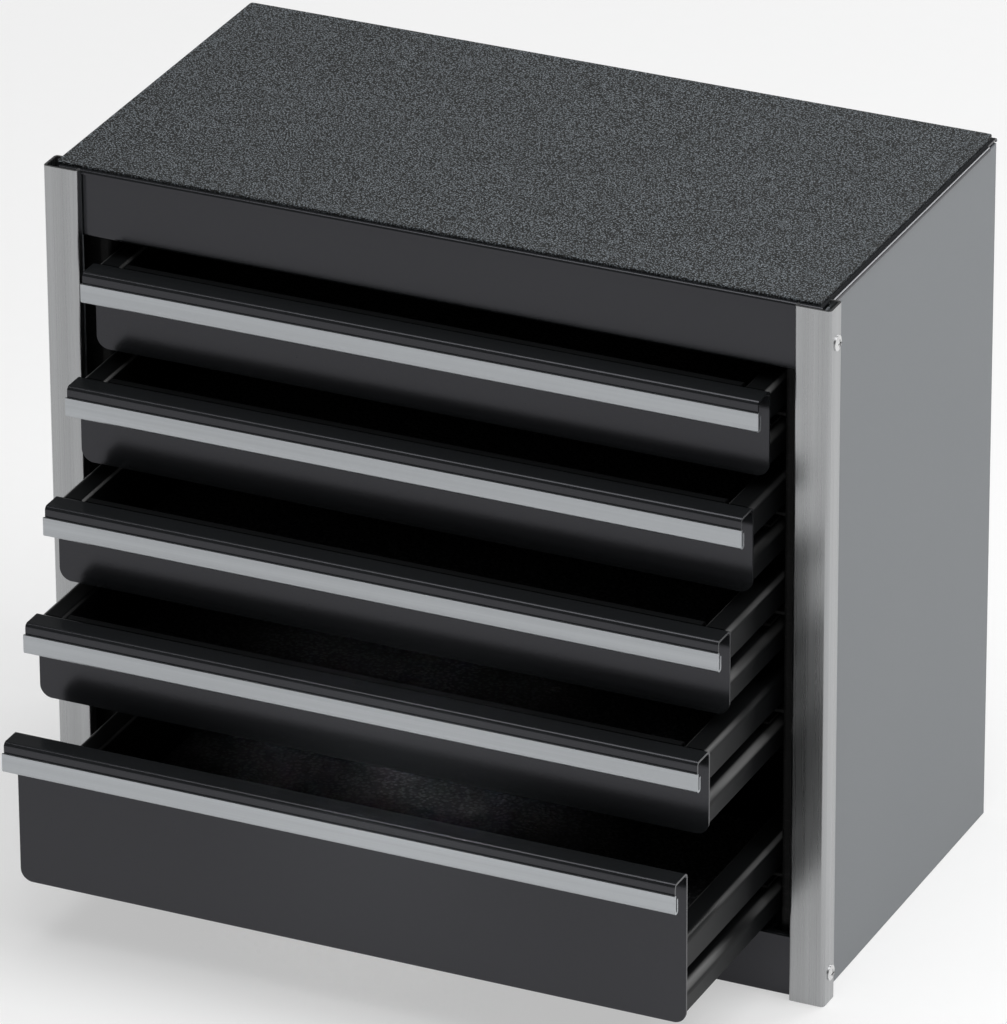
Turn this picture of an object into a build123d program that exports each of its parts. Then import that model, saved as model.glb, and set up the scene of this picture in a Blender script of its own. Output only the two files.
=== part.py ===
from build123d import *
import os

# Socket organizer: a small sheet-steel cabinet with five pull-out drawers.
# Millimetres. X runs to the right, Y to the back, Z up. The origin is the centre
# of the cabinet's footprint, on the surface that it stands on. Each drawer is
# drawn pulled out by its own opening.

# ---- Cabinet, overall ----
cabinet_width = 320.0
cabinet_depth = 170.3
post_height = 286.8
lid_drop = 0.7
mat_thickness = 1.2
mat_right_margin = 2.8
mat_left_lap = 0.4
mat_front_margin = 1.9
mat_back_margin = 0.3
mat_corner = 1.5
mat_edge = 0.4

# ---- Sheet metal ----
sheet = 0.8
bend = 1.2
weld_flange = 8.0
lid_lip = 1.7
lid_bend = 1.3
lid_corner_front = 8.9
lid_corner_rear = 9.3
lid_corner_step = 1.2
side_rear_flange = 10.0
side_top_flange = 10.0
side_top_relief = 9.5
bottom_flange = 9.0
corner_relief = 2.0
back_panel_gap = 0.6

# ---- Corner posts ----
post_sheet = 1.0
post_face = 14.3
post_side = 10.7
post_corner = 1.5
front_setback = 4.0
side_setback = 4.4
seam = 0.2
fascia_lap = 0.1

# ---- Fascias ----
top_fascia_drop = 26.5
bottom_fascia_height = 25.2
fascia_relief = 1.5

# ---- Drawers ----
drawer_count = 5
top_drawer_gap = 6.3
bottom_drawer_gap = 1.2
front_gap = 5.6
deep_front = 63.3
side_drop = 5.1
deep_side = 30.6
openings = (7.1, 21.8, 42.2, 60.6, 80.5)
travel = 112.0

# ---- Drawer front with its full-width pull ----
front_sheet = 0.9
front_side_gap = 8.3
front_corner = 5.0
pull_depth = 10.6
pull_back_bend = 2.4
pull_front_bend = 1.8
strip_reveal = 4.4
strip_height = 7.8
strip_back_height = 6.0
strip_sheet = 0.9
strip_bend = 1.1
strip_overhang = 0.5
strip_seat_gap = 0.3

# ---- Drawer tray and its side runners ----
tray_inset = 0.5
tray_lift = 4.5
tray_length = 150.0
tray_bend = 1.6
hook_bend = 2.8
tray_floor_bend = 0.8
front_wall_gap = 4.0
back_wall_gap = 5.0
end_wall_bend = 1.2
end_wall_relief = 1.2
end_wall_lap = 5.0
hook_width = 10.0
runner_slot = 7.8
runner_height = 10.4
runner_leg = 8.0
runner_bend = 4.5
runner_inner_bend = 1.6
liner_thickness = 2.0
liner_gap = 1.0
liner_corner = 2.0
liner_edge = 0.5

# ---- Cabinet rails, uprights and stops ----
slide_gap = 0.3
rail_side_gap = 1.2
rail_sheet = 1.0
rail_bend = 1.4
rail_flange = 5.0
rail_front_gap = 3.0
rail_tail = 12.0
upright_sheet = 1.2
upright_gap = 0.8
upright_lip = 4.2
upright_face = 8.4
upright_bend = 1.8
upright_foot_bend = 1.0
upright_foot = 10.0
upright_setback = 6.55
upright_floor_gap = 12.0
upright_head_gap = 6.0
carrier_inset = 1.8
carrier_width = 5.4
carrier_leg = 7.0
carrier_bend = 1.6
ear_width = 4.0
ear_overlap = 1.4
stop_gap = 0.3

# ---- Fasteners ----
screw_radius = 1.5
screw_head_radius = 3.0
screw_head_height = 1.1
screw_head_edge = 0.4
screw_length = 7.5
screw_clearance = 0.1
screw_setback = 6.4
screw_edge = 14.9
screw_floor = 11.8
recess_width = 0.8
recess_length = 3.2
recess_depth = 0.7
rivet_radius = 1.2
rivet_head_radius = 2.4
rivet_head_height = 1.0
rivet_tail = 0.7
rivet_inset = 5.4
rivet_floor = 30.0
rivet_ceiling = 30.3
rivet_rows = 4

# ---- Places worked out from the sizes above ----
post_x = cabinet_width / 2
opening_x = post_x - post_face
side_x = post_x - side_setback
lid_top = post_height - lid_drop
inner_x = side_x - sheet
front_y = -cabinet_depth / 2
back_y = cabinet_depth / 2
face_y = front_y + front_setback
lid_under = lid_top - sheet
lid_x = side_x + sheet
lid_front_y = face_y - sheet
lid_back_y = back_y + sheet
fascia_x = opening_x + (post_sheet - sheet) + fascia_lap
back_panel_y = back_y - sheet
rivet_x = side_x - rivet_inset
rivet_pitch = (lid_under - rivet_ceiling - rivet_floor) / (rivet_rows - 1)
hole_length = 4 * max(sheet, post_sheet)

bottom_lip = bottom_fascia_height + bottom_drawer_gap + deep_front
top_lip = lid_under - top_fascia_drop - top_drawer_gap
drawer_pitch = (top_lip - bottom_lip) / (drawer_count - 1)
shallow_front = drawer_pitch - front_gap
shallow_side = shallow_front - side_drop

front_x = opening_x - front_side_gap
skirt_x = front_x - tray_inset
wall_x = skirt_x - hook_width
rail_x = wall_x + sheet + rail_side_gap + rail_sheet
upright_x = skirt_x + upright_gap
upright_y = front_y + front_setback + upright_setback
carrier_front_y = upright_y + carrier_inset
carrier_back_y = carrier_front_y + travel + carrier_width + ear_width + 2 * stop_gap
upright_shift = carrier_back_y - carrier_front_y
rail_front_y = face_y + rail_front_gap
rail_back_y = carrier_back_y + carrier_width + rail_tail
fascia_flange_x = upright_x - fascia_relief


# ---- Ways of making a folded sheet ----
def folded(points, bends, thickness, side):
    """Section of a sheet folded along the points, with its thickness on one side."""
    path = FilletPolyline(*points, radius=bends)
    return Face(Wire(path.edges()).offset_2d(thickness, side=side))


def along_x(section, start, end):
    """Section drawn in (Y, Z), drawn out from one X to another."""
    return extrude(Plane.YZ.offset(start) * section, end - start, dir=(1, 0, 0))


def along_y(section, start, end):
    """Section drawn in (X, Z), drawn out from one Y to another."""
    return extrude(Plane.XZ.offset(-start) * section, end - start, dir=(0, 1, 0))


def along_z(section, start, end):
    """Section drawn in (X, Y), drawn out from one Z to another."""
    return extrude(Plane.XY.offset(start) * section, end - start, dir=(0, 0, 1))


def span(low, high):
    """Rectangle between two corners, in the plane that a section is drawn in."""
    width = high[0] - low[0]
    height = high[1] - low[1]
    return Pos((low[0] + high[0]) / 2, (low[1] + high[1]) / 2) * Rectangle(width, height)


def across(part):
    """The same piece for the left-hand side."""
    return mirror(part, about=Plane.YZ)


# ---- Cabinet shell ----
def top_panel():
    """Lid with a short turned-down lip all round, cut away at its four corners."""
    lip_z = lid_top - lid_lip
    sides = folded(
        [(-lid_x, lip_z), (-lid_x, lid_top), (lid_x, lid_top), (lid_x, lip_z)],
        lid_bend, sheet, Side.RIGHT)
    side_start = lid_front_y + lid_corner_front
    side_end = lid_back_y - lid_corner_rear
    lid = along_y(sides, side_start, side_end)
    plain_x = lid_x - lid_corner_step
    front = folded(
        [(lid_front_y, lip_z), (lid_front_y, lid_top), (side_start + bend, lid_top)],
        lid_bend, sheet, Side.RIGHT)
    back = folded(
        [(lid_back_y, lip_z), (lid_back_y, lid_top), (side_end - bend, lid_top)],
        lid_bend, sheet, Side.LEFT)
    return lid + along_x(front, -plain_x, plain_x) + along_x(back, -plain_x, plain_x)


def top_mat():
    """Rubber mat that lies on the lid, set a little to the left of its middle."""
    right = lid_x - mat_right_margin
    left = -lid_x - mat_left_lap
    front = lid_front_y + mat_front_margin
    back = lid_back_y - mat_back_margin
    mat = extrude(RectangleRounded(right - left, back - front, mat_corner), mat_thickness)
    mat = fillet(mat.faces().sort_by(Axis.Z)[-1].edges(), mat_edge)
    return Pos((left + right) / 2, (front + back) / 2, lid_top) * mat


def side_panel():
    """Right-hand side, folded in at the front, the back and the top."""
    plan = folded(
        [(fascia_x, face_y), (side_x, face_y), (side_x, back_y),
         (side_x - side_rear_flange, back_y)],
        bend, sheet, Side.LEFT)
    panel = along_z(plan, 0, lid_under - bend)
    top = folded(
        [(side_x, lid_under - 2 * bend), (side_x, lid_under),
         (side_x - side_top_flange, lid_under)],
        bend, sheet, Side.LEFT)
    panel += along_y(top, face_y + side_top_relief, back_y - side_top_relief)
    for height in screw_heights():
        hole = Cylinder(screw_radius + screw_clearance, hole_length, rotation=(0, 90, 0))
        panel -= Pos(side_x, front_y + screw_setback, height) * hole
    for height in rivet_heights():
        hole = Cylinder(rivet_radius, hole_length, rotation=(90, 0, 0))
        panel -= Pos(rivet_x, back_y, height) * hole
    return panel


def back_panel():
    """Back, set against the inside of the side panels' rear flanges."""
    section = folded(
        [(back_panel_y, 0), (back_panel_y, lid_under),
         (back_panel_y - weld_flange, lid_under)],
        bend, sheet, Side.LEFT)
    half = inner_x - back_panel_gap
    panel = along_x(section, -half, half)
    for height in rivet_heights():
        hole = Cylinder(rivet_radius, hole_length, rotation=(90, 0, 0))
        panel -= Pos(rivet_x, back_panel_y, height) * hole
        panel -= Pos(-rivet_x, back_panel_y, height) * hole
    return panel


def bottom_panel():
    """Floor pan with turned-up flanges and relieved corners."""
    front = face_y + sheet
    back = back_panel_y - sheet
    sides = folded(
        [(-inner_x, bottom_flange), (-inner_x, 0), (inner_x, 0), (inner_x, bottom_flange)],
        bend, sheet, Side.LEFT)
    pan = along_y(sides, front + corner_relief, back - corner_relief)
    ends = folded(
        [(front, bottom_flange), (front, 0), (back, 0), (back, bottom_flange)],
        bend, sheet, Side.LEFT)
    return pan + along_x(ends, corner_relief - inner_x, inner_x - corner_relief)


def top_fascia():
    """Channel across the front, above the drawers."""
    low = lid_under - top_fascia_drop
    section = folded(
        [(face_y + weld_flange, low), (face_y, low), (face_y, lid_under),
         (face_y + weld_flange, lid_under)],
        bend, sheet, Side.RIGHT)
    return relieved(along_x(section, -fascia_x, fascia_x))


def bottom_fascia():
    """Angle across the front, below the drawers."""
    section = folded(
        [(face_y, 0), (face_y, bottom_fascia_height),
         (face_y + weld_flange, bottom_fascia_height)],
        bend, sheet, Side.RIGHT)
    return relieved(along_x(section, -fascia_x, fascia_x))


def relieved(fascia):
    """Fascia with the ends of its flanges cut away, clear of the uprights."""
    relief = span((fascia_flange_x, face_y + 2 * bend), (post_x, face_y + 2 * weld_flange))
    cut = along_z(relief, 0, post_height)
    return fascia - cut - across(cut)


def corner_post():
    """Right-hand front post: a channel that wraps round the cabinet's corner."""
    return_y = lid_front_y - seam
    rear_y = front_y + post_side
    plan = folded(
        [(opening_x, return_y), (opening_x, front_y), (post_x, front_y),
         (post_x, rear_y), (side_x, rear_y)],
        [post_sheet, post_corner, post_corner], post_sheet, Side.LEFT)
    post = along_z(plan, 0, post_height)
    for height in screw_heights():
        hole = Cylinder(screw_radius + screw_clearance, hole_length, rotation=(0, 90, 0))
        post -= Pos(post_x, front_y + screw_setback, height) * hole
    return post


# ---- Fasteners ----
def screw_heights():
    return (screw_floor, post_height - screw_edge)


def domed(radius, edge, top):
    """Half the outline of a round head, from its rim at the edge to its middle."""
    rise = top - edge
    return RadiusArc((radius, edge), (0, top), -(radius**2 + rise**2) / (2 * rise))


def pan_screw():
    """Cross-recess screw along X, with the underside of its head at the origin."""
    outline = Polyline((0, -screw_length), (screw_radius, -screw_length),
                       (screw_radius, 0), (screw_head_radius, 0),
                       (screw_head_radius, screw_head_edge))
    dome = domed(screw_head_radius, screw_head_edge, screw_head_height)
    axis = Line((0, screw_head_height), (0, -screw_length))
    body = revolve(Plane.XZ * make_face([outline, dome, axis]), Axis.Z)
    slot = Box(recess_length, recess_width, 2 * recess_depth)
    body -= Pos(0, 0, screw_head_height) * (slot + Rot(0, 0, 90) * slot)
    return Rot(0, 90, 0) * body


def post_screws():
    """Two screws through each post into the side panel behind it."""
    right = [Pos(post_x, front_y + screw_setback, height) * pan_screw()
             for height in screw_heights()]
    return Compound(children=right + [across(screw) for screw in right])


def rivet_heights():
    return [rivet_floor + row * rivet_pitch for row in range(rivet_rows)]


def back_rivet():
    """Domed rivet along Y, with the underside of its head at the origin."""
    tail = -2 * sheet - rivet_tail
    outline = Polyline((rivet_head_radius, 0), (rivet_radius, 0), (rivet_radius, tail),
                       (0, tail), (0, rivet_head_height))
    dome = domed(rivet_head_radius, 0, rivet_head_height)
    body = revolve(Plane.XZ * make_face([outline, dome]), Axis.Z)
    return Rot(-90, 0, 0) * body


def back_rivets():
    """Rivets that hold the back to the side panels."""
    right = [Pos(rivet_x, back_y, height) * back_rivet() for height in rivet_heights()]
    return Compound(children=right + [across(rivet) for rivet in right])


# ---- Drawer sizes, from the top drawer, 0, to the deep bottom one ----
class Drawer:
    """Heights and front plane of one drawer at its own opening."""

    def __init__(self, index):
        last = index == drawer_count - 1
        self.lip = top_lip - drawer_pitch * index
        self.bottom = self.lip - (deep_front if last else shallow_front)
        self.floor = self.bottom + tray_lift
        self.top = self.floor + (deep_side if last else shallow_side)
        self.guide = self.floor + runner_height
        self.skirt = self.guide + runner_slot
        self.carrier = self.guide + (runner_slot - upright_sheet) / 2
        self.opening = openings[index]
        self.face = face_y - self.opening
        self.start = self.face + front_sheet
        self.end = self.start + tray_length


# ---- Drawer pieces ----
def drawer_front(drawer):
    """Front plate, bent forward at its top into a pull with a hanging lip."""
    back = drawer.start
    lip_y = drawer.face - pull_depth
    lip_low = drawer.lip - strip_reveal - strip_height + strip_sheet + strip_seat_gap
    section = folded(
        [(back, drawer.bottom), (back, drawer.lip), (lip_y, drawer.lip), (lip_y, lip_low)],
        [pull_back_bend, pull_front_bend], front_sheet, Side.LEFT)
    front = along_x(section, -front_x, front_x)
    corners = front.edges().filter_by(Axis.Y).sort_by(Axis.Z)[:2]
    return fillet(corners, front_corner)


def trim_strip(drawer):
    """Bright channel clipped over the lower edge of the pull's lip."""
    half = front_x + strip_overhang
    outer = drawer.face - pull_depth - strip_sheet
    inner = drawer.face - pull_depth + front_sheet + strip_sheet
    low = drawer.lip - strip_reveal - strip_height
    section = folded(
        [(inner, low + strip_back_height), (inner, low), (outer, low),
         (outer, low + strip_height)],
        strip_bend, strip_sheet, Side.RIGHT)
    return along_x(section, -half, half)


def tray(drawer):
    """Folded tray whose sides hook outward and down, over the cabinet's rails."""
    top = drawer.top
    inside = drawer.floor + sheet
    hooks = folded(
        [(-skirt_x, drawer.skirt), (-skirt_x, top), (-wall_x, top), (-wall_x, inside),
         (wall_x, inside), (wall_x, top), (skirt_x, top), (skirt_x, drawer.skirt)],
        [hook_bend, tray_bend, tray_floor_bend, tray_floor_bend, tray_bend, hook_bend],
        sheet, Side.RIGHT)
    body = along_y(hooks, drawer.start, drawer.end)
    body += end_wall(drawer, drawer.start, drawer.start + front_wall_gap, Side.RIGHT)
    body += end_wall(drawer, drawer.end, drawer.end - back_wall_gap, Side.LEFT)
    ear = stop_ear(drawer)
    return body + ear + across(ear)


def end_wall(drawer, edge, wall, side):
    """Wall across one end of the tray, with a flange turned out along its top."""
    low = drawer.floor + sheet / 2
    high = drawer.top - end_wall_lap / 2
    reach = wall_x + sheet / 2
    plate = Pos(0, (low + high) / 2) * Rectangle(2 * reach, high - low)
    plate = fillet(plate.vertices().sort_by(Axis.Y)[:2], tray_floor_bend + sheet / 2)
    inner, outer = sorted((wall, wall + sheet if edge > wall else wall - sheet))
    body = along_y(plate, inner, outer)
    section = folded(
        [(edge, drawer.top), (wall, drawer.top), (wall, drawer.top - end_wall_lap)],
        end_wall_bend, sheet, side)
    width = wall_x - end_wall_relief
    return body + along_x(section, -width, width)


def stop_ear(drawer):
    """Ear on the skirt that meets the carriers where the drawer has to stop."""
    end = carrier_back_y - stop_gap - drawer.opening
    low = drawer.skirt - runner_slot / 2 - ear_overlap
    section = span((skirt_x - sheet, low), (skirt_x, drawer.skirt + sheet))
    return along_y(section, end - ear_width, end)


def runner(drawer):
    """Right-hand guide below the hook: a turned-down channel, rounded along its outer top."""
    inner = wall_x + sheet
    section = folded(
        [(inner, drawer.guide - runner_leg), (inner, drawer.guide),
         (skirt_x, drawer.guide), (skirt_x, drawer.floor)],
        [runner_inner_bend, runner_bend], sheet, Side.RIGHT)
    return along_y(section, drawer.start, drawer.end)


def liner(drawer):
    """Rubber mat that lies on the tray's floor."""
    front = drawer.start + front_wall_gap + liner_gap
    back = drawer.end - back_wall_gap - liner_gap
    plan = RectangleRounded(2 * (wall_x - liner_gap), back - front, liner_corner)
    mat = extrude(plan, liner_thickness)
    mat = fillet(mat.faces().sort_by(Axis.Z)[-1].edges(), liner_edge)
    return Pos(0, (front + back) / 2, drawer.floor + sheet) * mat


# ---- Cabinet pieces that carry the drawers ----
def rail(drawer):
    """Right-hand rail: a channel that fills the space between hook and runner."""
    high = drawer.top - sheet - slide_gap
    low = drawer.guide + slide_gap
    web = rail_x - rail_sheet
    section = folded(
        [(web + rail_flange, high), (web, high), (web, low), (web + rail_flange, low)],
        rail_bend, rail_sheet, Side.LEFT)
    return along_y(section, rail_front_y, rail_back_y)


def front_upright(drawers):
    """Right-hand front upright, with a bent arm to carry each rail."""
    foot = inner_x - upright_sheet
    web = upright_y + upright_face
    plan = folded(
        [(upright_x + upright_lip, upright_y), (upright_x, upright_y), (upright_x, web),
         (foot, web), (foot, web + upright_foot)],
        [upright_bend, upright_bend, upright_foot_bend], upright_sheet, Side.RIGHT)
    upright = along_z(plan, upright_floor_gap, lid_under - upright_head_gap)
    for drawer in drawers:
        arm = folded(
            [(upright_x + upright_sheet / 2, drawer.carrier), (rail_x, drawer.carrier),
             (rail_x, drawer.carrier + carrier_leg)],
            carrier_bend, upright_sheet, Side.RIGHT)
        upright += along_y(arm, carrier_front_y, carrier_front_y + carrier_width)
    return upright


# ---- The whole organizer ----
def build():
    drawers = [Drawer(index) for index in range(drawer_count)]
    upright = front_upright(drawers)
    rear_upright = Pos(0, upright_shift, 0) * upright
    nodes = {
        "top_panel": top_panel(),
        "top_mat": top_mat(),
        "right_side_panel": side_panel(),
        "left_side_panel": across(side_panel()),
        "back_panel": back_panel(),
        "bottom_panel": bottom_panel(),
        "top_fascia": top_fascia(),
        "bottom_fascia": bottom_fascia(),
        "right_corner_post": corner_post(),
        "left_corner_post": across(corner_post()),
        "post_screws": post_screws(),
        "back_rivets": back_rivets(),
        "right_front_upright": upright,
        "left_front_upright": across(upright),
        "right_rear_upright": rear_upright,
        "left_rear_upright": across(rear_upright),
    }
    for number, drawer in enumerate(drawers, start=1):
        name = f"drawer_{number}"
        nodes[f"right_rail_{number}"] = rail(drawer)
        nodes[f"left_rail_{number}"] = across(rail(drawer))
        nodes[f"{name}_front"] = drawer_front(drawer)
        nodes[f"{name}_trim_strip"] = trim_strip(drawer)
        nodes[f"{name}_tray"] = tray(drawer)
        nodes[f"{name}_right_runner"] = runner(drawer)
        nodes[f"{name}_left_runner"] = across(runner(drawer))
        nodes[f"{name}_liner"] = liner(drawer)
    return nodes


os.makedirs("parts", exist_ok=True)
for node, shape in build().items():
    export_step(shape, f"parts/{node}.step")
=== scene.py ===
# %% [markdown]
# # A small steel cabinet with five drawers
#
# This file dresses a finished steel cabinet: it gives the sheet metal its paint, lays the
# rubber mats in, and sets up a floor, some lamps and a camera. The metal itself was drawn
# elsewhere, to the tenth of a millimetre, and it is only loaded here. Every length in
# Blender is in metres. X runs to the right, Y to the back and Z up, and the origin is the
# middle of the cabinet's footprint.

# %% Load the metalwork
import math

import bmesh
import bpy
from mathutils import Matrix, Vector, noise


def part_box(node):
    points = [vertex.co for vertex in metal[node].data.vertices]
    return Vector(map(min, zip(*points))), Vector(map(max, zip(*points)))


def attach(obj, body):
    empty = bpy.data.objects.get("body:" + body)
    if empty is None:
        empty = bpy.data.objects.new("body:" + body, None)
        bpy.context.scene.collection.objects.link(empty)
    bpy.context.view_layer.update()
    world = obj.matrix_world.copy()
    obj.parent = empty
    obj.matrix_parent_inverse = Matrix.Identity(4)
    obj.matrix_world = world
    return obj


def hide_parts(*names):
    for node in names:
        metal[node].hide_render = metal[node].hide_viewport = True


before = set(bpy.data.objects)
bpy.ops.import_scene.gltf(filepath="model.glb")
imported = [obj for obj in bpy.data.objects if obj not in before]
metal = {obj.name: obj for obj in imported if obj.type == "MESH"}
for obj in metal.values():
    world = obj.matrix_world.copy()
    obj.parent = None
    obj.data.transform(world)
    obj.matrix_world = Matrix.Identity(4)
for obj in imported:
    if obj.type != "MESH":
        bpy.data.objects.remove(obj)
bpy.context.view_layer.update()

# %% [markdown]
# ## The camera
#
# A long lens far away keeps upright edges nearly parallel, as catalogue pictures do. One
# could drag the camera about by eye, but the direction, height and distance were worked
# out from the cabinet's corners, so the camera is placed by those numbers. The direction
# is the angle round the cabinet from straight ahead, the height is the angle above the
# floor, and the last turn levels the picture by a third of a degree. The picture's middle
# lies about a centimetre to the left of the cabinet's middle, and as much below it.

# %% Where the camera stands
MM = 0.001
round_angle = math.radians(24.877572)
height_angle = math.radians(26.064134)
level_turn = -0.0054839
camera_distance = 3698.964 * MM
cabinet_middle = Vector((0, 0, 150 * MM))
picture_to_right = -9.4041 * MM
picture_to_top = -12.0582 * MM

back = Vector((math.sin(round_angle) * math.cos(height_angle),
               -math.cos(round_angle) * math.cos(height_angle),
               math.sin(height_angle)))
right = Vector((math.cos(round_angle), math.sin(round_angle), 0))
up = back.cross(right)
looked_at = cabinet_middle + right * picture_to_right + up * picture_to_top
level_right = right * math.cos(level_turn) + up * math.sin(level_turn)
level_up = up * math.cos(level_turn) - right * math.sin(level_turn)
print("the camera looks at", [round(c, 3) for c in looked_at])

# %% [markdown]
# The lens's length was worked out in pixels of the picture. The picture's height fills
# the longer side of the sensor, and that turns the length into millimetres.

# %% Place the camera
sensor_mm = 36
picture_height = 1024
lens_pixels = 9711.2017
lens_mm = lens_pixels / picture_height * sensor_mm

camera = bpy.data.objects.new("camera", bpy.data.cameras.new("camera"))
bpy.context.scene.collection.objects.link(camera)
turn = Matrix((level_right, level_up, back)).transposed().to_4x4()
camera.matrix_world = Matrix.Translation(looked_at + back * camera_distance) @ turn
camera.data.lens = lens_mm
camera.data.sensor_width = sensor_mm
bpy.context.scene.camera = camera
print("camera", [round(c, 3) for c in camera.location], "lens", round(lens_mm, 1), "mm")

# %% [markdown]
# ## Writing shaders as sums
#
# A finish is a small network of nodes. Wired by hand it takes many lines, and the idea is
# lost among them. Here one class stands for what comes out of a node, and knows how to be
# added, subtracted and multiplied, so that `1 - wear * 0.5` builds its own Math nodes. A
# second class is the material being made, with a single method for every other node.
# Colours are only ever mixed by the Mix node, because a Math node would turn them grey.

# %% A socket that can be used in a sum
class Reading:
    """What comes out of one socket of a finish."""

    def __init__(self, finish, socket):
        self.finish = finish
        self.socket = socket

    def sum(self, operation, *terms):
        inputs = dict(enumerate(terms))
        return self.finish.node("ShaderNodeMath", {"operation": operation}, inputs)["Value"]

    def __add__(self, other):
        return self.sum("ADD", self, other)

    def __sub__(self, other):
        return self.sum("SUBTRACT", self, other)

    def __rsub__(self, other):
        return self.sum("SUBTRACT", other, self)

    def __mul__(self, other):
        return self.sum("MULTIPLY", self, other)

    __radd__ = __add__
    __rmul__ = __mul__

    def size(self):
        """The value without its sign."""
        return self.sum("ABSOLUTE", self)

    def between(self, low, high):
        """0 below the low value, 1 above the high one, and smooth in between."""
        settings = {"interpolation_type": "SMOOTHSTEP"}
        inputs = {"Value": self, "From Min": low, "From Max": high}
        return self.finish.node("ShaderNodeMapRange", settings, inputs)["Result"]


print("values can be added, subtracted and multiplied")

# %% A node's outputs, asked for by name
def named(sockets, key):
    """A socket by its number, or else by its identifier or name."""
    if isinstance(key, int):
        return sockets[key]
    return next(s for s in sockets if key in (s.identifier, s.name))


class Outputs:
    """The outputs of one node."""

    def __init__(self, finish, node):
        self.finish = finish
        self.node = node

    def __getitem__(self, name):
        return Reading(self.finish, named(self.node.outputs, name))


print("outputs have names")

# %% A finish being made
class Finish:
    """The nodes of one owner, a material or the world."""

    def __init__(self, owner):
        owner.use_nodes = True
        self.owner = owner
        self.tree = owner.node_tree
        self.tree.nodes.clear()

    def node(self, kind, settings=None, inputs=None):
        """A new node: its settings are set first, then its sockets get values or links."""
        made = self.tree.nodes.new(kind)
        for key, value in (settings or {}).items():
            setattr(made, key, value)
        for key, value in (inputs or {}).items():
            socket = named(made.inputs, key)
            if isinstance(value, Reading):
                self.tree.links.new(value.socket, socket)
            else:
                socket.default_value = value
        return Outputs(self, made)

    def place(self, stretch=(1, 1, 1)):
        """The place on the piece in metres, times a stretch along each axis."""
        where = self.node("ShaderNodeTexCoord")["Object"]
        scaled = {0: where, 1: stretch}
        return self.node("ShaderNodeVectorMath", {"operation": "MULTIPLY"}, scaled)["Vector"]

    def cloud(self, stretch, detail=2.0, roughness=0.5):
        """Noise about 0 to 1, with so many lumps a metre along each axis."""
        inputs = {"Vector": self.place(stretch), "Scale": 1.0,
                  "Detail": detail, "Roughness": roughness}
        return self.node("ShaderNodeTexNoise", {}, inputs)["Fac"]

    def mixed(self, share, first, second):
        """A colour part of the way from the first to the second."""
        inputs = {"Factor_Float": share, "A_Color": first, "B_Color": second}
        return self.node("ShaderNodeMix", {"data_type": "RGBA"}, inputs)["Result_Color"]

    def bump(self, height, depth, strength):
        """A surface that rises by the depth, in metres, where the height is 1."""
        inputs = {"Height": height, "Distance": depth, "Strength": strength}
        return self.node("ShaderNodeBump", {}, inputs)["Normal"]

    def surface(self, **inputs):
        """The shader itself. A name's underscores stand for spaces."""
        spaced = {key.replace("_", " "): value for key, value in inputs.items()}
        shader = self.node("ShaderNodeBsdfPrincipled", {}, spaced)["BSDF"]
        self.node("ShaderNodeOutputMaterial", {}, {"Surface": shader})
        return self.owner


print("a finish has", [name for name in vars(Finish) if not name.startswith("_")])

# %% Small helpers for the finishes
def new_finish(name):
    """A finish for a new material."""
    return Finish(bpy.data.materials.new(name))


def even(lumps):
    """As many lumps a metre along every axis."""
    return (lumps, lumps, lumps)


def grey(level, blue=0.0):
    """A grey, with so much more blue in it than red."""
    return (level, level * (1 + blue / 2), level * (1 + blue), 1)


finishes = {}
print("the finishes go into one dictionary, by name")

# %% [markdown]
# ## Black enamel
#
# The lid, the fascias and the drawer fronts are sheet steel under a smooth, baked black
# enamel. Almost nothing comes back from the paint's own colour: what one sees is the pale
# floor, mirrored at some four per cent and tinted a little blue. So the base colour is
# nearly black, the roughness is low, and the faint waviness of sprayed paint keeps
# mirrored edges soft. A darker grey without that gloss would look like plastic. The
# colour drifts slowly from place to place, and carries a few specks of dust.

# %% Make the black enamel
def black_enamel():
    paint = new_finish("black_enamel")
    peel = paint.cloud(even(420), detail=1.0)
    drift = paint.cloud(even(9), detail=3.0)
    dust = paint.cloud(even(1900)).between(0.66, 0.74)
    dark, pale, speck = grey(0.0092, 0.18), grey(0.0114, 0.18), grey(0.05)
    return paint.surface(
        Base_Color=paint.mixed(dust * 0.25, paint.mixed(drift, dark, pale), speck),
        Roughness=drift * 0.05 + 0.15,
        Specular_Tint=(1.0, 0.995, 1.09, 1),
        Normal=paint.bump(peel, depth=0.02 * MM, strength=0.3))


finishes["black_enamel"] = black_enamel()
print("made", list(finishes)[-1])

# %% [markdown]
# ## The trays' paint
#
# The trays and their guides are sprayed too, but with one thin coat that dries satin. It
# mirrors far less than the enamel of the fronts, so their flat sides stay black. The pale
# lines along the folds are a painted highlight: a paler grey is painted into the colour
# where the lamps' glint on the bends falls. A fold is where a surface faces neither
# sideways nor up but somewhere between, so the surface's own normal finds it: its
# sideways part times its upward part is nothing on a flat and greatest half-way round.

# %% Make the trays' paint
def tray_paint():
    paint = new_finish("tray_paint")
    grain = paint.cloud(even(900))
    drift = paint.cloud(even(20))
    normal = paint.node("ShaderNodeNewGeometry")["Normal"]
    facing = paint.node("ShaderNodeSeparateXYZ", {}, {"Vector": normal})
    fold = (facing["X"] * facing["Z"]).size().between(0.28, 0.49)
    # Painted highlight: a paler grey is painted in patches along the folds, for the glint on
    # the bends.
    painted_fold_highlight = fold * paint.cloud((60, 14, 60)).between(0.30, 0.70)
    dark, pale, fold_highlight_grey = grey(0.0055, 0.12), grey(0.0080, 0.12), grey(0.18)
    return paint.surface(
        Base_Color=paint.mixed(painted_fold_highlight * 0.8, paint.mixed(drift, dark, pale), fold_highlight_grey),
        Roughness=drift * 0.08 + 0.28,
        Specular_IOR_Level=0.08,
        Normal=paint.bump(grain, depth=0.02 * MM, strength=0.3))


finishes["tray_paint"] = tray_paint()
print("made", list(finishes)[-1])

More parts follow.
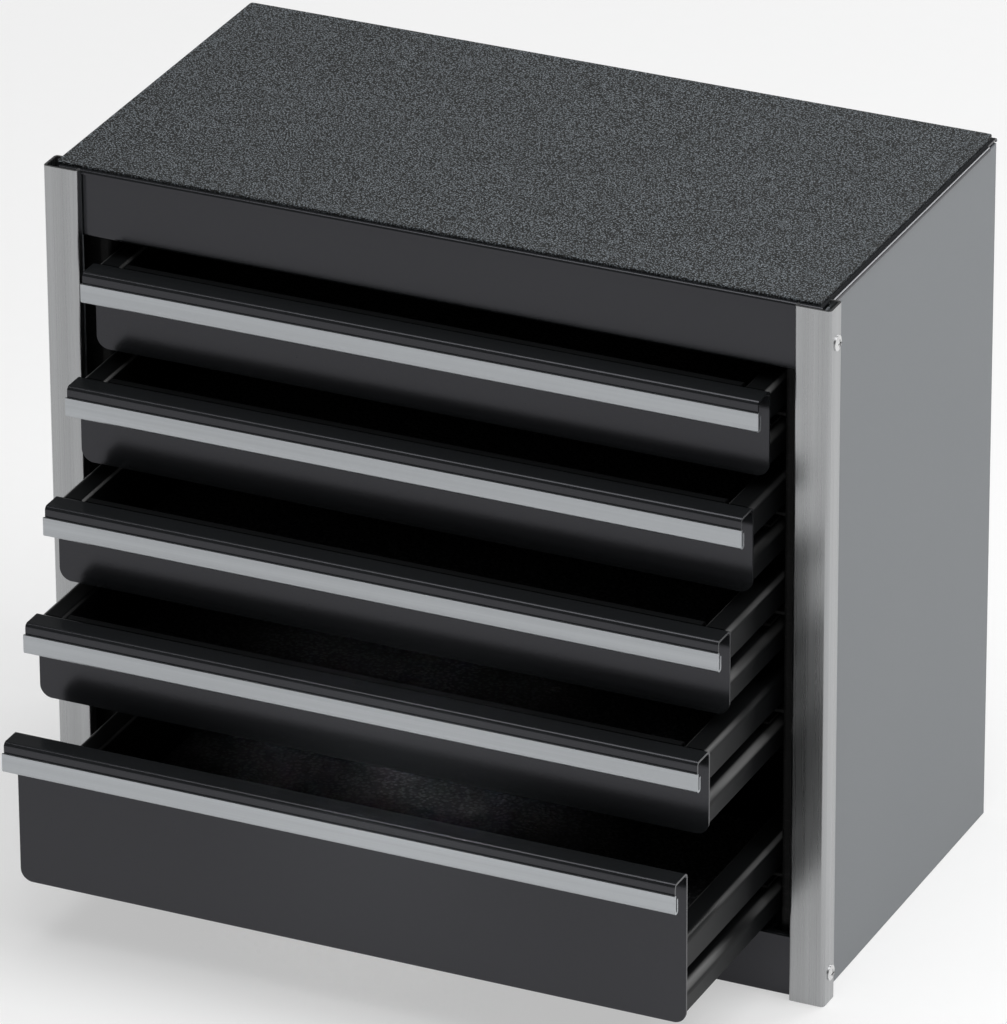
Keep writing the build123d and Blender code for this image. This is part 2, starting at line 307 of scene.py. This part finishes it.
# %% [markdown]
# ## Black slides
#
# The rails and uprights inside are plainer: a thin dip coat that was never meant to be
# seen, rougher than the enamel, with the odd scuff where a runner rubs along it. A scuff is
# a long thin patch of noise, stretched along the way that the drawer moves.

# %% Make the coat of the slides
def slide_enamel():
    coat = new_finish("slide_enamel")
    scuff = coat.cloud((260, 9, 900)).between(0.60, 0.70)
    grain = coat.cloud(even(700))
    dipped, scuffed = grey(0.014), grey(0.04)
    return coat.surface(
        Base_Color=coat.mixed(scuff * 0.4, dipped, scuffed),
        Roughness=0.60 - scuff * 0.15 + grain * 0.08,
        Specular_IOR_Level=0.15,
        Normal=coat.bump(grain, depth=0.03 * MM, strength=0.4))


finishes["slide_enamel"] = slide_enamel()
print("made", list(finishes)[-1])

# %% [markdown]
# ## Brushed steel posts
#
# The corner posts are bare steel, brushed from top to bottom. Brushing is thousands of fine
# scratches all one way, so the noise is stretched: very fine across the post and a few
# lumps a metre along it. Fine scratches and bands seven times as broad shade the metal by
# a tenth either way, and the scratches also change the roughness and lift the surface
# slightly. A ready-made anisotropic shader would need a tangent on every face, while
# stretched noise works on any piece and still travels well to other programs.

# %% Make the brushed steel
def brushed(name, stretch, level, blue, rough, depth):
    """Bare metal brushed along the axis that has the smallest stretch."""
    steel = new_finish(name)
    scratch = steel.cloud(stretch, detail=3.0, roughness=0.6)
    band = steel.cloud([lumps / 7 for lumps in stretch])
    share = (scratch * 0.4 + band * 0.6).between(0.2, 0.8)
    dark, pale = grey(level * 0.90, blue), grey(level * 1.10, blue)
    return steel.surface(
        Base_Color=steel.mixed(share, dark, pale),
        Metallic=1.0,
        Roughness=scratch * 0.08 + (rough - 0.04),
        Normal=steel.bump(scratch, depth, strength=0.5))


finishes["post_steel"] = brushed(
    "post_steel", (1400, 1400, 5), level=0.38, blue=0.03, rough=0.28, depth=0.002 * MM)
print("made", list(finishes)[-1])

# %% [markdown]
# ## The drawers' bright strips
#
# Each pull is edged with an aluminium channel, brushed along its length and clear
# anodised, which takes the glare off it. It is the same idea as the posts, turned on its
# side, finer, rougher and a little bluer.

# %% Make the strips' aluminium
finishes["strip_aluminium"] = brushed(
    "strip_aluminium", (10, 2600, 2600), level=0.43, blue=0.08, rough=0.40, depth=0.01 * MM)
print("made", list(finishes)[-1])

# %% [markdown]
# ## Satin grey sides
#
# The sides, the back and the floor pan wear a grey satin paint. Sprayed satin isn't quite
# even: it has a very fine texture, and its colour drifts by a few per cent over a hand's
# breadth. Both are noise, one at under a millimetre and one at several centimetres.

# %% Make the grey paint
def side_enamel():
    paint = new_finish("side_enamel")
    texture = paint.cloud(even(1500))
    drift = paint.cloud(even(12))
    dark, pale = grey(0.163, 0.13), grey(0.186, 0.13)
    return paint.surface(
        Base_Color=paint.mixed(drift * 0.7 + texture * 0.3, dark, pale),
        Roughness=drift * 0.10 + 0.40,
        Specular_IOR_Level=0.35,
        Normal=paint.bump(texture, depth=0.03 * MM, strength=0.35))


finishes["side_enamel"] = side_enamel()
print("made", list(finishes)[-1])

# %% [markdown]
# ## Screws and rivets
#
# The screws are polished and plated, the rivets plain aluminium. Both are small, so all
# that one sees is how sharp their glint is: a low roughness for the plating, a higher one
# for the rivets, with a slight cloudiness on each so that no two look alike.

# %% Make the fasteners' metal
def fastener_metal(name, level, rough):
    metal_skin = new_finish(name)
    cloud = metal_skin.cloud(even(500), detail=3.0)
    dull, bright = grey(level * 0.88), grey(level)
    return metal_skin.surface(
        Base_Color=metal_skin.mixed(cloud, dull, bright),
        Metallic=1.0,
        Roughness=cloud * 0.12 + rough,
        Normal=metal_skin.bump(cloud, depth=0.02 * MM, strength=0.2))


finishes["screw_chrome"] = fastener_metal("screw_chrome", level=0.74, rough=0.24)
finishes["rivet_aluminium"] = fastener_metal("rivet_aluminium", level=0.62, rough=0.34)
print("made", list(finishes)[-2:])

# %% [markdown]
# ## Grained rubber
#
# The mat on the lid has the pebbled grain of cheap leathercloth, pressed into the rubber:
# rounded lumps under a millimetre across with creases between them. The drawers' liners
# have a coarser and shallower grain. Modelling the lumps would take a million faces. A
# Voronoi texture gives each point its distance to the nearest lump's middle, which is a
# pebble field already, and noise bends its straight boundaries. The same height drives the
# bump and the colour: painted shade darkens the creases and painted light pales the crowns.

# %% Make the rubber
def grained_rubber(name, lumps, dark, pale, depth):
    """Rubber with so many lumps a metre: painted shade in its creases, painted light on its
    crowns.
    """
    rubber = new_finish(name)
    bend = rubber.cloud(even(lumps * 0.8))
    where = rubber.place(even(lumps))
    bent = rubber.node("ShaderNodeVectorMath", {"operation": "ADD"}, {0: where, 1: bend * 0.6})
    cells = rubber.node("ShaderNodeTexVoronoi", {"feature": "SMOOTH_F1"},
                        {"Vector": bent["Vector"], "Scale": 1.0, "Smoothness": 0.6})
    crown = 1 - cells["Distance"].between(0.10, 0.70)
    fine = rubber.cloud(even(lumps * 2.2), detail=3.0)
    drift = rubber.cloud(even(16))
    height = crown * 0.8 + fine * 0.2
    # Painted shade and light: the colour darkens in the creases and pales on the crowns, by
    # height.
    shade = (height * 0.92 + drift * 0.08).between(0.28, 0.72)
    return rubber.surface(
        Base_Color=rubber.mixed(shade, dark, pale),
        Roughness=0.66 - crown * 0.16,
        Normal=rubber.bump(height, depth, strength=0.9))


finishes["mat_rubber"] = grained_rubber(
    "mat_rubber", lumps=1450, depth=1 * MM,
    dark=(0.004, 0.005, 0.005, 1), pale=(0.178, 0.202, 0.222, 1))
finishes["liner_rubber"] = grained_rubber(
    "liner_rubber", lumps=620, depth=0.3 * MM,
    dark=(0.034, 0.035, 0.038, 1), pale=(0.094, 0.098, 0.106, 1))
print("made", list(finishes)[-2:])

# %% [markdown]
# ## Dress the metalwork
#
# Each loaded piece came with a plain material named after its slot. The slot says what it
# is made of, so one loop swaps every plain material for the finish of that name. Only the
# trays and their guides, whose slot is the fronts' enamel, are told apart by their names.

# %% Give every piece its finish
def finish_of(name, piece):
    """The trays' paint for trays and their guides, or the finish named after the slot."""
    if name.endswith(("_tray", "_runner")):
        return finishes["tray_paint"]
    return finishes[piece.data.materials[0].name.split(".")[0]]


for name, piece in metal.items():
    finish = finish_of(name, piece)
    piece.data.materials.clear()
    piece.data.materials.append(finish)
print("dressed", len(metal), "pieces in", len(finishes), "finishes")

# %% [markdown]
# ## Rubber sheets
#
# The mat on the lid and the five drawer liners are cut from rubber sheet. A block with
# sharp edges would read as card. Real sheet has softly rolled edges and small round
# corners, and it never lies perfectly flat. The sheet is a grid whose rows crowd together
# near the edge, where the roll needs them. Corner points are pulled in onto an arc, and a
# slow ripple of a fraction of a millimetre lowers the sheet here and there.

# %% Rows of a grid, crowded towards its two ends
def crowded(half, edge, step):
    """Places from -half to half, close together over each rolled edge."""
    inset = [edge * share for share in (0, 0.08, 0.25, 0.55, 1, 2.5)] + [step * 0.5]
    low = [-half + distance for distance in inset]
    span = 2 * half - step
    count = max(2, round(span / step))
    middle = [low[-1] + span * k / count for k in range(1, count)]
    return low + middle + [-place for place in reversed(low)]


rows_over_20_mm = crowded(10 * MM, 0.5 * MM, 4 * MM)
print("rows over 20 mm:", [round(place / MM, 1) for place in rows_over_20_mm])

# %% A point of the sheet's top
def onto_corner(x, y, half_x, half_y, corner):
    """Pulls a point in a square corner onto the round one."""
    over_x = abs(x) - (half_x - corner)
    over_y = abs(y) - (half_y - corner)
    if over_x <= 0 or over_y <= 0:
        return x, y
    across, along = over_x / corner, over_y / corner
    new_x = half_x - corner + corner * across * math.sqrt(1 - along * along / 2)
    new_y = half_y - corner + corner * along * math.sqrt(1 - across * across / 2)
    return math.copysign(new_x, x), math.copysign(new_y, y)


def sunk(x, y, inset, edge, ripple, seed):
    """How far the top lies below its highest, so far in from the sheet's edge."""
    waves = 14  # of the ripple, in a metre
    roll = edge - math.sqrt(max(0, edge * edge - (edge - inset) ** 2))
    wave = noise.noise(Vector((x * waves, y * waves, seed)))
    return roll + ripple * (0.5 + 0.5 * wave) * min(1, inset / edge)


print("the rim lies", round(sunk(0, 0, 0, 0.4 * MM, 0, 1) / MM, 2), "mm down")

# %% The points of a sheet's top, row by row
def top_rows(mesh, low, high, corner, edge, step, ripple, seed):
    """Adds the points of the top between two corners of a box."""
    middle = (low + high) / 2
    half_x, half_y = (high.x - low.x) / 2, (high.y - low.y) / 2
    rows = []
    for y in crowded(half_y, edge, step):
        row = []
        for x in crowded(half_x, edge, step):
            inset = min(half_x - abs(x), half_y - abs(y), edge)
            px, py = onto_corner(x, y, half_x, half_y, corner)
            top = high.z - sunk(px, py, inset, edge, ripple, seed)
            row.append(mesh.verts.new((middle.x + px, middle.y + py, top)))
        rows.append(row)
    return rows


print("the points of a sheet's top can be laid out")

# %% The faces of a sheet
def close_sheet(mesh, rows, bottom):
    """Faces over the rows, down from their rim and across the underside."""
    for near, far in zip(rows, rows[1:]):
        for a, b, c, d in zip(near, near[1:], far[1:], far):
            mesh.faces.new((a, b, c, d))
    rim = rows[0] + [row[-1] for row in rows[1:]] + rows[-1][-2::-1]
    rim += [row[0] for row in rows[-2:0:-1]]
    foot = [mesh.verts.new((v.co.x, v.co.y, bottom)) for v in rim]
    for k, vertex in enumerate(rim):
        after = (k + 1) % len(rim)
        mesh.faces.new((vertex, foot[k], foot[after], rim[after]))
    mesh.faces.new(foot[::-1])
    bmesh.ops.recalc_face_normals(mesh, faces=mesh.faces)


print("a sheet can be closed")

# %% A sheet made from such a grid
def rubber_sheet(name, node, corner, edge, step, ripple, seed):
    """A sheet of rubber in the place of a CAD node."""
    low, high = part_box(node)
    mesh = bmesh.new()
    rows = top_rows(mesh, low, high, corner, edge, step, ripple, seed)
    close_sheet(mesh, rows, low.z)
    data = bpy.data.meshes.new(name)
    mesh.to_mesh(data)
    mesh.free()
    for face in data.polygons:
        face.use_smooth = len(face.vertices) == 4
    sheet = bpy.data.objects.new(name, data)
    bpy.context.scene.collection.objects.link(sheet)
    thickness = high.z - low.z
    print(name, len(data.vertices), "points,", round(thickness / MM, 2), "mm thick")
    return sheet


print("rubber sheets can be made")

# %% Lay the mat on the lid
mat = rubber_sheet("grained_lid_mat", "top_mat", corner=1.5 * MM, edge=0.4 * MM,
                   step=5 * MM, ripple=0.12 * MM, seed=1.0)
mat.data.materials.append(finishes["mat_rubber"])
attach(mat, "cabinet")
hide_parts("top_mat")

# %% Lay a liner in each drawer
for number in range(1, 6):
    drawer = f"drawer_{number}"
    lining = rubber_sheet(f"{drawer}_grained_liner", f"{drawer}_liner", corner=2 * MM,
                          edge=0.5 * MM, step=8 * MM, ripple=0.25 * MM, seed=3.0 * number)
    lining.data.materials.append(finishes["liner_rubber"])
    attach(lining, drawer)
    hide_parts(f"{drawer}_liner")

# %% [markdown]
# ## The floor
#
# Catalogue pictures stand the object on a plain white sweep. A white that is lit to white
# needs so much light that the object washes out. So to the camera, and to anything that
# mirrors it, part of the floor's white glows by itself, and the rest is lit, which is what
# lets the cabinet still throw its soft shadow. Farther off, where the lamps hardly reach,
# nearly all of it glows, so a low view still ends in white. The floor lies a fifth of a
# millimetre below the cabinet's foot, so that the two never share a plane.

# %% Lay the floor
def pale_floor():
    white = new_finish("pale_floor")
    path = white.node("ShaderNodeLightPath")
    seen = path["Is Camera Ray"] + path["Is Glossy Ray"] + path["Is Transmission Ray"]
    tooth = white.cloud(even(90))
    away = white.node("ShaderNodeVectorMath", {"operation": "LENGTH"}, {0: white.place()})
    far_off = away["Value"].between(0.45, 2.2)
    colour = white.mixed(tooth, grey(0.92), grey(0.94))
    lit = white.node("ShaderNodeBsdfDiffuse", {}, {"Color": colour})
    glow = white.node("ShaderNodeEmission", {}, {"Color": grey(1.0), "Strength": 1.0})
    both = white.node("ShaderNodeMixShader", {}, {
        "Fac": seen * (far_off * 0.46 + 0.48), 1: lit["BSDF"], 2: glow["Emission"]})
    white.node("ShaderNodeOutputMaterial", {}, {"Surface": both["Shader"]})
    return white.owner


floor_width = 14
below_foot = 0.2 * MM
bpy.ops.mesh.primitive_plane_add(size=floor_width, location=(0, 0, -below_foot))
floor = bpy.context.object
floor.name = "pale_floor"
floor.data.materials.append(pale_floor())
print("floor", round(floor.dimensions.x, 1), "m wide")

# %% [markdown]
# ## Lamps and room
#
# Black enamel has no colour of its own to show, so the lamps are placed by what its bends
# mirror. A broad one overhead, a little to the right, draws a line along each pull that
# fades to the left. A smaller one behind and to the right draws the lines along the lid's
# edge and the drawers' folded sides. One near the right side lights the grey panel from
# above, so that it darkens downwards, and a narrow beam finds the lowest drawer's liner.
# The room round them is dark but for its horizon. A lamp is given by how bright it would
# make a white card turned to face it, and its power follows from its distance. All the
# power of a narrow beam goes into a small cone, so it needs that much less of it.

# %% Hang the lamps
def softbox(name, place, width, height, level, target=cabinet_middle, beam=180):
    """A soft lamp turned to its target. Its beam is in degrees, and 180 is all of it."""
    lamp = bpy.data.lights.new(name, "AREA")
    lamp.shape = "RECTANGLE"
    lamp.size, lamp.size_y = width, height
    holder = bpy.data.objects.new(name, lamp)
    bpy.context.scene.collection.objects.link(holder)
    aim = Vector(target) - Vector(place)
    holder.location = place
    holder.rotation_euler = aim.to_track_quat("-Z", "Y").to_euler()
    lamp.energy = level * math.pi ** 2 * aim.length_squared
    if beam < 180:
        lamp.spread = math.radians(beam)
        lamp.energy *= math.radians(beam / 2) ** 2 / 3
    print(name, round(lamp.energy, 3), "W")


softbox("overhead_lamp", (0.25, -0.2, 2.2), width=2.1, height=2.1, level=0.90)
softbox("edge_lamp", (1.2, 1.9, 1.3), width=1.1, height=0.9, level=0.32)
softbox("side_lamp", (0.85, 0.0, 1.00), width=0.5, height=0.5, level=0.26)
softbox("liner_beam", (0.44, -1.12, 0.62), width=0.08, height=0.08, level=1.9,
        target=(-0.034, -0.05, 0.034), beam=5)

# %% Light the room
room = bpy.data.worlds.new("room")
bpy.context.scene.world = room
air = Finish(room)
way = air.node("ShaderNodeTexCoord")["Generated"]
rise = air.node("ShaderNodeSeparateXYZ", {}, {"Vector": way})["Z"]
horizon, dimness = grey(0.75), grey(0.10)
tint = air.mixed(rise.between(0.03, 0.20), horizon, dimness)
sky = air.node("ShaderNodeBackground", {}, {"Color": tint, "Strength": 1.0})["Background"]
air.node("ShaderNodeOutputWorld", {}, {"Surface": sky})
print("the room is lit")

# %% [markdown]
# ## Finish
#
# Colours are shown as they are written, without a film look.

# %% Show colours as written
bpy.context.scene.view_settings.view_transform = "Standard"
